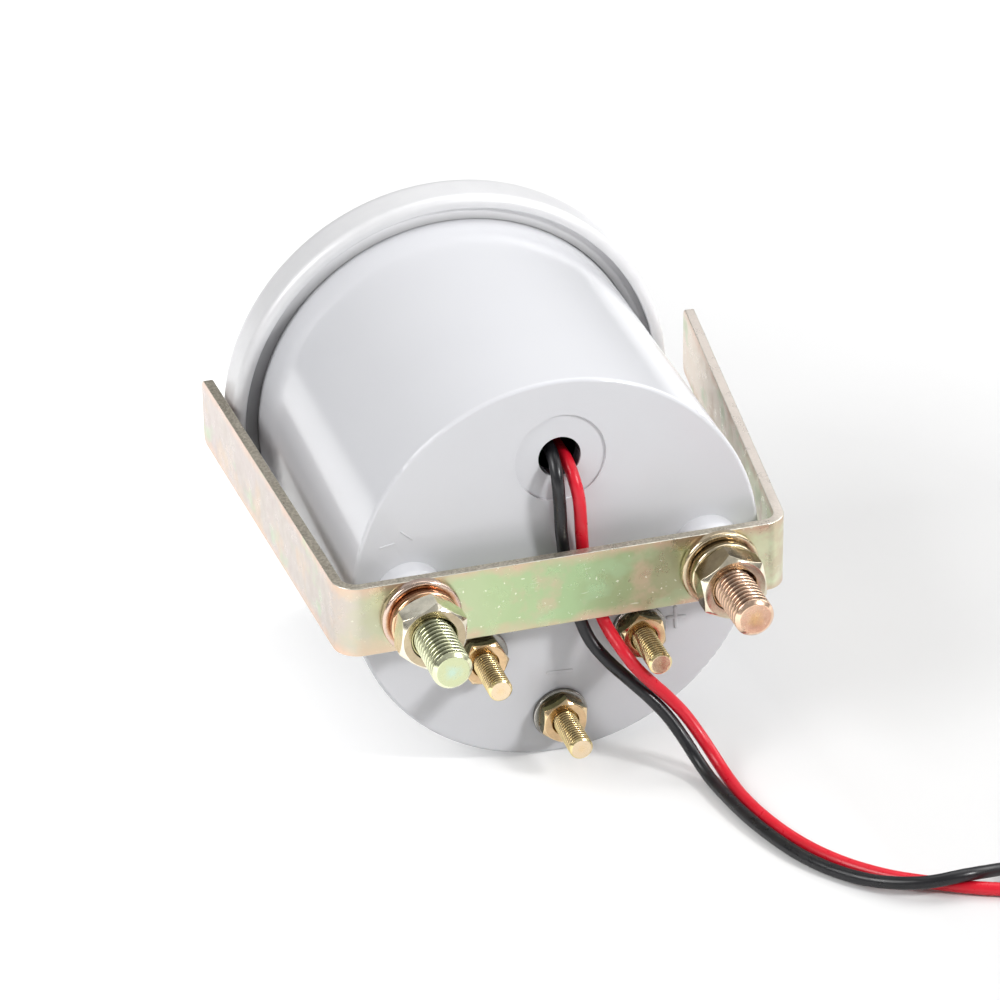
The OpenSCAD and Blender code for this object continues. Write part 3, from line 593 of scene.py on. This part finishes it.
def softened(node, name, body, slot, width, angle=30):
    """A copy of a CAD node's surface, rounded off where a convex edge turns by more than an angle."""
    weld, flat, least = 1e-6, math.radians(0.4), math.radians(angle)
    mesh = nodes[node].data.copy()
    mesh.name = name
    bm = bmesh.new()
    bm.from_mesh(mesh)
    bmesh.ops.remove_doubles(bm, verts=bm.verts, dist=weld)
    bmesh.ops.dissolve_limit(bm, angle_limit=flat, verts=bm.verts, edges=bm.edges)
    edges = [e for e in bm.edges if e.is_manifold and e.is_convex and e.calc_face_angle() > least]
    bmesh.ops.bevel(bm, geom=edges, offset=width * MM, segments=2, profile=0.5, affect="EDGES",
                    clamp_overlap=True)
    bm.to_mesh(mesh)
    bm.free()
    return add_piece(name, mesh, body, slot, (node,), sharp=50)


def boss_dome(name, node):
    """Rounded boss round a bracket stud, laid a hair over the case's own."""
    skin = 0.02
    foot, top = REAR_FACE - 0.3, REAR_FACE + BOSS_H + skin / 2
    bore, r = BRACKET_STUD["r"] + 0.1, BOSS_R + skin
    outline = rounded([(bore, foot), (r, foot), (r, top), (bore, top)], [0, 0, BOSS_ROUND, 0.1], 16)
    return lathe(name, outline, 128, axis_of(node), "gauge", "case", sharp=60)


# Leads: the points of each route up to its coil, in millimetres
BLACK_ROUTE = [
    (0.45, 22.8, 16.1), (0.45, 34, 16.1), (0.45, 39.5, 16.1), (0.45, 42, 16.1),
    (0.45, 43.5, 16.1), (0.5, 45, 15.9), (0.55, 46.3, 15.3), (0.6, 47.3, 14.3),
    (0.6, 47.9, 13), (0.55, 48.1, 11.5), (0.4, 48, 9.6), (0.2, 47.7, 6.8),
    (-0.2, 47.4, 3.5), (-0.8, 47.3, 0), (-1.4, 47.5, -3.3), (-2.1, 48.1, -6.2),
    (-3.1, 49.1, -8.8), (-4.8, 50.5, -11.1), (-7, 52, -13.3), (-9.2, 53.3, -15.5),
    (-11.2, 54.5, -17.9), (-12.8, 56, -20.5), (-13.9, 58.1, -22.6), (-14.6, 61, -23.7),
    (-15.1, 66.3, -23.5), (-15.8, 71.8, -23.1), (-17, 77.4, -22.7), (-18.8, 83, -22.3),
    (-21.5, 88, -21.9), (-25, 92.3, -21.2), (-29.3, 95.4, -20.2), (-34, 96.2, -19.6),
    (-38.6, 94.9, -20.6), (-43, 93.9, -21.4), (-48, 93.7, -21.5), (-53, 93.7, -21.5),
    (-57.5, 93.7, -21.5)]
RED_ROUTE = [
    (-1.3, 22.8, 14.9), (-1.3, 34, 14.9), (-1.3, 39.5, 14.9), (-1.3, 42, 14.9),
    (-1.3, 43.5, 14.9), (-1.35, 45, 14.7), (-1.45, 46.3, 14.1), (-1.6, 47.3, 13.1),
    (-1.8, 47.9, 11.8), (-2, 48.1, 10.3), (-2.2, 47.9, 8.2), (-2.4, 47.6, 5.8),
    (-2.6, 47.4, 3.6), (-3.1, 47.3, 0.3), (-3.8, 47.4, -2.7), (-4.4, 48, -5),
    (-5, 49.3, -6.8), (-5.6, 51, -8), (-6.3, 52.5, -9.1), (-7.4, 53.4, -10.8),
    (-9.3, 53.7, -13.1), (-11.4, 53.9, -15.5), (-13.4, 54.6, -18), (-15, 56, -20.6),
    (-16.1, 58.1, -22.6), (-16.7, 61.2, -23.7), (-16.9, 66.5, -23.5), (-17.6, 72, -23.1),
    (-18.9, 77.5, -22.7), (-20.8, 82.6, -22.3), (-23.4, 87, -22), (-26.8, 90.9, -21.7),
    (-30.7, 94, -21.4), (-35.2, 96.9, -21.2), (-40, 99, -21.1), (-44, 100.1, -21),
    (-48, 100.3, -21)]
LEAD_LENGTH = 250
COIL_R = 10.4
COIL_PITCH = 1.66
# Gap between a coil and the surface, and how far to each side of the tie the coil rises over it, in radians
COIL_GAP = 0.05
RISE_SPREAD = 0.35
# How far round the coil its tie sits, in degrees, then the band's thickness, half its width and its gaps
TIE_TURN = 62
TIE_T = 0.22
TIE_HALF_W = 0.6
TIE_GAP = 0.08
TIE_FLAT_GAP = 0.06
TIE_SURFACE_GAP = 0.03


def smooth_route(points, steps=6):
    """Centripetal curve through a route's points."""
    pts = [Vector(p) for p in points]
    pts = [2 * pts[0] - pts[1]] + pts + [2 * pts[-1] - pts[-2]]
    out = []
    for i in range(1, len(pts) - 2):
        p0, p1, p2, p3 = pts[i - 1:i + 3]
        t1 = (p1 - p0).length ** 0.5
        t2 = t1 + (p2 - p1).length ** 0.5
        t3 = t2 + (p3 - p2).length ** 0.5
        for k in range(steps):
            t = t1 + (t2 - t1) * k / steps
            a1 = p0 * ((t1 - t) / t1) + p1 * (t / t1)
            a2 = p1 * ((t2 - t) / (t2 - t1)) + p2 * ((t - t1) / (t2 - t1))
            a3 = p2 * ((t3 - t) / (t3 - t2)) + p3 * ((t - t2) / (t3 - t2))
            b1 = a1 * ((t2 - t) / t2) + a2 * (t / t2)
            b2 = a2 * ((t3 - t) / (t3 - t1)) + a3 * ((t - t1) / (t3 - t1))
            out.append(b1 * ((t2 - t) / (t2 - t1)) + b2 * ((t - t1) / (t2 - t1)))
    out.append(pts[-2])
    return out


def flat_coil(centre, start, way, length):
    """Spiral inwards on the surface, from the point where the lead meets it, and over the tie."""
    cx, cy = centre
    out = []
    angle, run, r = math.radians(start), 0.0, COIL_R
    step = math.radians(10)
    tie_at = math.radians(start + way * TIE_TURN)
    while run < length:
        here = min(step, (length - run) / r)
        angle += way * here
        run += r * here
        r -= COIL_PITCH * here / (2 * math.pi)
        y = cy + r * math.sin(angle)
        off = math.remainder(angle - tie_at, 2 * math.pi)
        lift = (TIE_T + 0.05) * math.exp(-(off / RISE_SPREAD) ** 2)
        out.append(Vector((cx + r * math.cos(angle), y, table_z(y) + LEAD_D / 2 + COIL_GAP + lift)))
    return out


def coil_tie(name, centre, start, way):
    """Soft wire tie round both turns of a coil, its two ends twisted together on top."""
    turn = math.radians(start + way * TIE_TURN)
    out = Vector((math.cos(turn), math.sin(turn), TABLE_SLOPE * math.sin(turn))).normalized()
    up_way = Vector((0, -TABLE_SLOPE, 1)).normalized()
    along = up_way.cross(out)
    r_mid = COIL_R - COIL_PITCH * (TIE_TURN / 360 + 0.5)
    y = centre[1] + r_mid * math.sin(turn)
    z = table_z(y) + TIE_SURFACE_GAP + TIE_T + TIE_GAP + LEAD_D / 2
    middle = Vector((centre[0] + r_mid * math.cos(turn), y, z))
    half_w = COIL_PITCH / 2 + LEAD_D / 2 + TIE_GAP
    half_h = LEAD_D / 2 + TIE_FLAT_GAP
    corners = [(-half_w, -half_h), (half_w, -half_h), (half_w, half_h), (-half_w, half_h)]
    inner = rounded(corners, [half_h * 0.95] * 4, 6)
    outer = [(x + TIE_T * max(-1, min(1, x / half_w)), z + TIE_T * max(-1, min(1, z / half_h)))
             for x, z in inner]
    verts, faces = [], []
    for shift in (-TIE_HALF_W, TIE_HALF_W):
        for ring_points in (inner, outer):
            verts += [tuple(middle + out * x + up_way * z + along * shift) for x, z in ring_points]
    n = len(inner)
    for k in range(n):
        m = (k + 1) % n
        for a, b in ((0, 1), (1, 3), (3, 2), (2, 0)):
            faces.append((a * n + k, a * n + m, b * n + m, b * n + k))
    band = piece(name, verts, faces, "gauge", "white_plastic", sharp=40)
    top = middle + up_way * (half_h + TIE_T)
    ears = twisted(name + "_ears", top - up_way * 0.1, (up_way + along * 1.4).normalized(), strands=2,
                   length=3.4, strand_r=0.2, spread=0.2)
    return band, ears


def line_length(points):
    """Length of a line through points."""
    return sum((b - a).length for a, b in zip(points, points[1:]))


def lead(name, route, coil_at, start, way, slot, stands_for):
    """A lead along its route, coiled at its end, with its bare strands and the coil's tie."""
    path = smooth_route(route)
    path += flat_coil(coil_at, start, way, LEAD_LENGTH - line_length(path))
    data = bpy.data.curves.new(name, "CURVE")
    data.dimensions = "3D"
    data.bevel_depth = LEAD_D / 2 * MM
    data.bevel_resolution = 5
    data.use_fill_caps = True
    spline = data.splines.new("POLY")
    spline.points.add(len(path) - 1)
    for point, spot in zip(spline.points, path):
        point.co = (*(spot * MM), 1)
    data.materials.append(MATERIALS[slot])
    spline.use_smooth = True
    made = bpy.data.objects.new(name, data)
    scene.collection.objects.link(made)
    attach(made, "gauge")
    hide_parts(*stands_for)
    onward = (path[-1] - path[-2]).normalized()
    tip = twisted(name + "_strands", path[-1] - onward * 0.3, onward, strands=6, length=4.2, strand_r=0.12,
                  spread=0.22, core=True, slot="plain_steel")
    band, ears = coil_tie(name + "_tie", coil_at, start, way)
    return made


def twisted(name, start, along, strands, length, strand_r, spread, core=False, slot="white_plastic"):
    """Strands twisted together from a start, with one more along the middle where there is a core."""
    side = along.cross(Vector((0, 0, 1))).normalized()
    lift = side.cross(along)
    verts, faces = [], []
    sides, steps = 6, 14
    for strand in range(strands + core):
        base = len(verts)
        for k in range(steps + 1):
            t = k / steps
            turn = 2 * math.pi * (strand / strands + 0.9 * t)
            away = 0.0 if strand == strands else spread
            spot = start + along * (length * t) + (side * math.cos(turn) + lift * math.sin(turn)) * away
            for m in range(sides):
                a = 2 * math.pi * m / sides
                verts.append(tuple(spot + (side * math.cos(a) + lift * math.sin(a)) * strand_r))
        for k in range(steps):
            for m in range(sides):
                n = (m + 1) % sides
                faces.append((base + k * sides + m, base + k * sides + n,
                              base + (k + 1) * sides + n, base + (k + 1) * sides + m))
        faces.append(tuple(base + m for m in range(sides)))
        faces.append(tuple(base + steps * sides + m for m in range(sides)))
    return piece(name, verts, faces, "gauge", slot, sharp=60)


lead("black_lead_run", BLACK_ROUTE, (-57.5, 83.3), 90, 1, "black_lead", ("black_lead", "black_coil"))
lead("red_lead_run", RED_ROUTE, (-48, 110.7), -90, -1, "red_lead", ("red_lead", "red_coil"))


# Case, bezel and bracket
softened("case", "case_moulding", "gauge", "case", 0.12, angle=50)
softened("bracket", "bracket_strip", "bracket", "bracket", 0.14)
boss_dome("left_boss_dome", "left_bracket_stud")
boss_dome("right_boss_dome", "right_bracket_stud")
BEZEL_INSIDE_R = BEZEL_R - BEZEL_T
BEZEL_OUTLINE = [
    (BEZEL_MOUTH_R, BEZEL_FRONT), (BEZEL_R, BEZEL_FRONT), (BEZEL_R, 0), (CRIMP_MOUTH_R, 0),
    (CRIMP_MOUTH_R, -BEZEL_T), (BEZEL_INSIDE_R, -BEZEL_T), (BEZEL_INSIDE_R, BEZEL_FRONT + BEZEL_T),
    (BEZEL_MOUTH_R, BEZEL_FRONT + BEZEL_T)]
BEZEL_ROUNDING = [0.3, 3.4, 1.2, 0.15, 0.15, 0.5, 2.7, 0.3]
lathe("bezel_ring", rounded(BEZEL_OUTLINE, BEZEL_ROUNDING, 8), 256, (0, 0), "gauge", "bezel", ("bezel",))


# Ridges on the rear face: where each starts and ends (x, z), its width and its height
RIDGES = {
    "plus_sign_bar": ((-14.1, -9.27), (-16.3, -9.44), 0.5, 0.16),
    "plus_sign_post": ((-15.05, -7.95), (-15.2, -10.75), 0.5, 0.20),
    "minus_sign": ((1.4, -14.4), (-1.6, -14.6), 0.5, 0.12),
    "mould_mark_left": ((22.4, 7.0), (20.7, 7.3), 0.22, 0.08),
    "mould_mark_right": ((19.8, 8.8), (18.4, 7.5), 0.22, 0.08),
}


def raised_ridge(name, start, end, width, height):
    """A low ridge with rounded ends on the rear face, from one point to the other."""
    a, b = Vector(start), Vector(end)
    along = (b - a).normalized()
    across = Vector((-along.y, along.x))
    outline = []
    for tip, way in ((b, 1), (a, -1)):
        for k in range(7):
            t = math.radians(-90 + 30 * k)
            outline.append((tip, way * (along * math.cos(t) + across * math.sin(t))))
    verts, faces = [], []
    for share, y in ((1.0, REAR_FACE - 0.05), (1.0, REAR_FACE + height * 0.45), (0.62, REAR_FACE + height)):
        for tip, way in outline:
            spot = tip + way * (width / 2 * share)
            verts.append((spot.x, y, spot.y))
    n = len(outline)
    for row in range(2):
        for k in range(n):
            m = (k + 1) % n
            faces.append((row * n + k, row * n + m, (row + 1) * n + m, (row + 1) * n + k))
    faces.append(tuple(range(n)))
    faces.append(tuple(2 * n + k for k in range(n)))
    return piece(name, verts, faces, "gauge", "case", sharp=50)


for name, (start, end, width, height) in RIDGES.items():
    raised_ridge(name, start, end, width, height)


# Studs, nuts and washers
def flat_ring(name, node, size, body, slot, edge, sides=96, material=None):
    """Washer in a CAD washer's place, its outer edge rounded on the side away from the case."""
    low, high = span(node)
    r = (high.x - low.x) / 2
    bore = size["r"] + WASHER_CLEARANCE
    corners = [(bore, low.y), (r, low.y), (r, high.y), (bore, high.y)]
    outline = rounded(corners, [0.05, edge * 0.5, edge, 0.08], 6)
    return lathe(name, outline, sides, axis_of(node), body, slot, (node,), material=material)


def spring_ring(name, node, size, material=None):
    """Split washer whose two ends stand a little apart, in a CAD washer's place."""
    low, high = span(node)
    r, bore, shift = (high.x - low.x) / 2, size["r"] + WASHER_CLEARANCE, 0.06
    steps = 80
    sections, angles = [], []
    for k in range(steps + 1):
        lift = shift * (2 * k / steps - 1)
        y0, y1 = low.y + shift + lift, high.y - shift + lift
        sections.append(rounded([(bore, y0), (r, y0), (r, y1), (bore, y1)], [0.12, 0.3, 0.3, 0.12], 4))
        angles.append(math.radians(266 - 352 * k / steps))
    return spin(name, sections, angles, axis_of(node), "bracket", "spring_washer", (node,), ring=False,
                material=material)


# How far each nut and its stud's head are turned, in degrees, and the right stud's own films
BRACKET_SIDES = (("left", 37, None, None, None), ("right", 22, OLIVE_WASHER, OLIVE_SPRING, OLIVE_NUT))
TERMINAL_TURNS = (("left", 0), ("right", 21), ("bottom", 35))

for side, turn, washer_film, spring_film, nut_film in BRACKET_SIDES:
    nut_node = side + "_bracket_nut"
    stud(side + "_stud_thread", side + "_bracket_stud", BRACKET_STUD, turn, side + "_stud")
    nut(nut_node + "_hex", nut_node, BRACKET_STUD, turn, nut_node, "bracket_nut", nut_film)
    flat_ring(side + "_flat_washer_ring", side + "_flat_washer", BRACKET_STUD, "bracket", "flat_washer", 0.4,
              material=washer_film)
    spring_ring(side + "_spring_washer_ring", side + "_spring_washer", BRACKET_STUD, spring_film)

for side, turn in TERMINAL_TURNS:
    stud_node, nut_node, washer_node = (side + "_terminal_" + kind for kind in ("stud", "nut", "washer"))
    film = thread_zinc(side + "_gold_thread", stud_node, TERMINAL_STUD, (0.92, 0.76, 0.40),
                       (0.20, 0.11, 0.03), (0.80, 0.64, 0.44), (0.80, 0.60, 0.36))
    stud(side + "_terminal_thread", stud_node, TERMINAL_STUD, turn, "terminal_stud", film)
    nut(nut_node + "_hex", nut_node, TERMINAL_STUD, turn, nut_node, "terminal_nut")
    flat_ring(washer_node + "_ring", washer_node, TERMINAL_STUD, washer_node, "terminal_washer", 0.2, 72)


# Dial marks
def paint(name, base):
    """Matt print on the dial."""
    return plastic(name, base, 0.6, 4.0, 0.002, 0.04)


WHITE = paint("dial_white", (0.85, 0.85, 0.83))
RED = paint("dial_red", (0.75, 0.03, 0.02))
GREEN = paint("dial_green", (0.05, 0.5, 0.12))
DIAL_FRONT = 0.4
SWEEP = 120
LOW, HIGH = 8, 16
# Radii of the coloured bands, the ticks and the numbers, a number's size, and half a tick's width in radians
BAND_R = (19.6, 20.6)
TICK_R, MAJOR_TICK_R, VOLT_TICK_R, HALF_TICK_R = 19.3, 17.2, 18.2, 18.7
NUMBER_R = 14.6
NUMBER_SIZE = 3.6
MAJOR_HALF_WIDTH, MINOR_HALF_WIDTH = 0.016, 0.008


def dial_angle(volts):
    """Angle of a value on the dial, from +X towards +Z."""
    return math.radians(90 + SWEEP / 2 - SWEEP * (volts - LOW) / (HIGH - LOW))


def dial_band(name, r0, r1, a0, a1, material, steps=40):
    """A printed arc, or a tick where both angles are close."""
    ink = 0.04
    verts, faces = [], []
    for k in range(steps + 1):
        a = a0 + (a1 - a0) * k / steps
        for r, y in ((r0, DIAL_FRONT), (r1, DIAL_FRONT), (r1, DIAL_FRONT - ink), (r0, DIAL_FRONT - ink)):
            verts.append((r * math.cos(a), y, r * math.sin(a)))
    for k in range(steps):
        for m in range(4):
            n = (m + 1) % 4
            faces.append((4 * k + m, 4 * k + n, 4 * k + 4 + n, 4 * k + 4 + m))
    faces.append((0, 1, 2, 3))
    faces.append(tuple(4 * steps + m for m in range(4)))
    return piece(name, verts, faces, "gauge", "dial", sharp=30, material=material)


for volts, end, paint_on, band_name in ((8, 11, RED, "low"), (12, 15, GREEN, "good"), (15, 16, RED, "high")):
    dial_band("dial_band_" + band_name, *BAND_R, dial_angle(volts), dial_angle(end), paint_on)
for half in range(2 * LOW, 2 * HIGH + 1):
    volts = half / 2
    major = half % 4 == 0
    width = MAJOR_HALF_WIDTH if major else MINOR_HALF_WIDTH
    inner = MAJOR_TICK_R if major else (VOLT_TICK_R if half % 2 == 0 else HALF_TICK_R)
    a = dial_angle(volts)
    dial_band("dial_tick_%d" % half, inner, TICK_R, a - width, a + width, WHITE, 2)
for volts in range(LOW, HIGH + 1, 2):
    letters = bpy.data.curves.new("dial_number_%d" % volts, "FONT")
    letters.body = str(volts)
    letters.size = NUMBER_SIZE * MM
    letters.extrude = 0.02 * MM
    letters.align_x = "CENTER"
    letters.align_y = "CENTER"
    holder = bpy.data.objects.new("dial_number_%d" % volts, letters)
    scene.collection.objects.link(holder)
    a = dial_angle(volts)
    spot = Vector((NUMBER_R * math.cos(a), DIAL_FRONT - 0.02, NUMBER_R * math.sin(a))) * MM
    holder.matrix_world = Matrix.Translation(spot) @ Matrix.Rotation(math.radians(90), 4, "X")
    letters.materials.append(WHITE)
    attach(holder, "gauge")


# Floor and light
def stage_plane(name, size, matrix, material):
    """A flat square of the stage, in metres."""
    mesh = bpy.data.meshes.new(name)
    h = size / 2
    mesh.from_pydata([(-h, -h, 0), (h, -h, 0), (h, h, 0), (-h, h, 0)], [], [(0, 1, 2, 3)])
    mesh.materials.append(material)
    made = bpy.data.objects.new(name, mesh)
    scene.collection.objects.link(made)
    made.matrix_world = matrix
    return made


def floor_material():
    """Pale floor that turns white away from the object; painted light makes it white sooner towards +X, which
    hides the object's shadow on that side.
    """
    s = Shader("floor_white", (0.68, 0.68, 0.68), 0.0, 0.75)
    away = s.tree.nodes.new("ShaderNodeVectorMath")
    away.operation = "LENGTH"
    s.tree.links.new(s.coords, away.inputs[0])
    # Painted light: the floor glows more towards +X, lifting the object's shadow there
    near = s.grey(s.axis("X"), 0.0, 0.7, -0.03, 0.05)
    glow = s.math("ADD", near, s.grey(away.outputs["Value"], 0.02, 0.5, 0.09, 0.3))
    path = s.tree.nodes.new("ShaderNodeLightPath")
    seen = s.math("MAXIMUM", path.outputs["Is Camera Ray"],
                  s.math("MAXIMUM", path.outputs["Is Glossy Ray"], path.outputs["Is Transmission Ray"]))
    s.put("Emission Color", (1, 1, 1))
    s.put("Emission Strength", s.math("MULTIPLY", seen, glow))
    s.put("Roughness", s.grey(s.noise(0.05, 3), 0.7, 0.8, 0.3, 0.7))
    return s.material


floor_tilt = Matrix.Rotation(math.atan(TABLE_SLOPE), 4, "X")
floor_at = Matrix.Translation(Vector((0, 0.03, table_z(30) * MM)))
stage_plane("floor", 8.0, floor_at @ floor_tilt, floor_material())

# Brightness of the studio's walls and ceiling by the height of a direction
SKY = ((0.0, 0.14), (0.06, 0.16), (0.35, 0.34), (1.0, 0.42))
# The studio is brighter on the photo's right: X of a direction from and to, with the brightness at each
RIGHTWARD = (-0.8, -0.35, 1.5, 1.0)


def studio_world():
    """Soft surroundings that the camera itself sees as white."""
    world = bpy.data.worlds.new("studio")
    scene.world = world
    world.use_nodes = True
    tree = world.node_tree
    back = tree.nodes["Background"]
    path = tree.nodes.new("ShaderNodeLightPath")
    direction = tree.nodes.new("ShaderNodeSeparateXYZ")
    tree.links.new(tree.nodes.new("ShaderNodeTexCoord").outputs["Generated"], direction.inputs[0])
    ceiling = tree.nodes.new("ShaderNodeValToRGB")
    band = ceiling.color_ramp
    while len(band.elements) < len(SKY):
        band.elements.new(0.5)
    for element, (height, brightness) in zip(band.elements, SKY):
        element.position = height
        element.color = (brightness, brightness, brightness, 1)
    tree.links.new(direction.outputs["Z"], ceiling.inputs["Fac"])
    rightward = tree.nodes.new("ShaderNodeMapRange")
    for socket, value in zip(rightward.inputs[1:5], RIGHTWARD):
        socket.default_value = value
    tree.links.new(direction.outputs["X"], rightward.inputs[0])
    tree.links.new(rightward.outputs[0], back.inputs["Strength"])
    seen_white = tree.nodes.new("ShaderNodeMix")
    seen_white.data_type = "RGBA"
    tree.links.new(path.outputs["Is Camera Ray"], seen_white.inputs[MIX_FACTOR])
    tree.links.new(ceiling.outputs["Color"], seen_white.inputs[MIX_A])
    seen_white.inputs[MIX_B].default_value = (1, 1, 1, 1)
    tree.links.new(seen_white.outputs[MIX_RESULT], back.inputs["Color"])


studio_world()


def softbox(name, at, aim, width, power, height=None):
    """Area light that faces a point; it is square unless it has a height."""
    data = bpy.data.lights.new(name, "AREA")
    data.shape = "RECTANGLE"
    data.size = width
    data.size_y = height or width
    data.energy = power
    made = bpy.data.objects.new(name, data)
    scene.collection.objects.link(made)
    made.location = at
    made.rotation_mode = "QUATERNION"
    made.rotation_quaternion = (Vector(aim) - Vector(at)).to_track_quat("-Z", "Y")
    return made


softbox("top_softbox", at=(-0.20, -0.15, 0.58), aim=(0, 0.02, 0), width=0.50, power=1.35)
softbox("right_softbox", at=(-0.50, -0.05, 0.28), aim=(0, 0.02, 0), width=0.30, power=1.05)
softbox("right_key", at=(-0.45, 0.50, 0.42), aim=(0, 0.03, 0), width=0.12, power=3.3)
softbox("left_softbox", at=(0.50, 0.12, 0.40), aim=(0, 0.03, 0), width=0.30, power=2.3)
softbox("front_fill", at=(0.30, 0.70, 0.10), aim=(0, 0.04, -0.01), width=0.50, power=0.12, height=0.12)
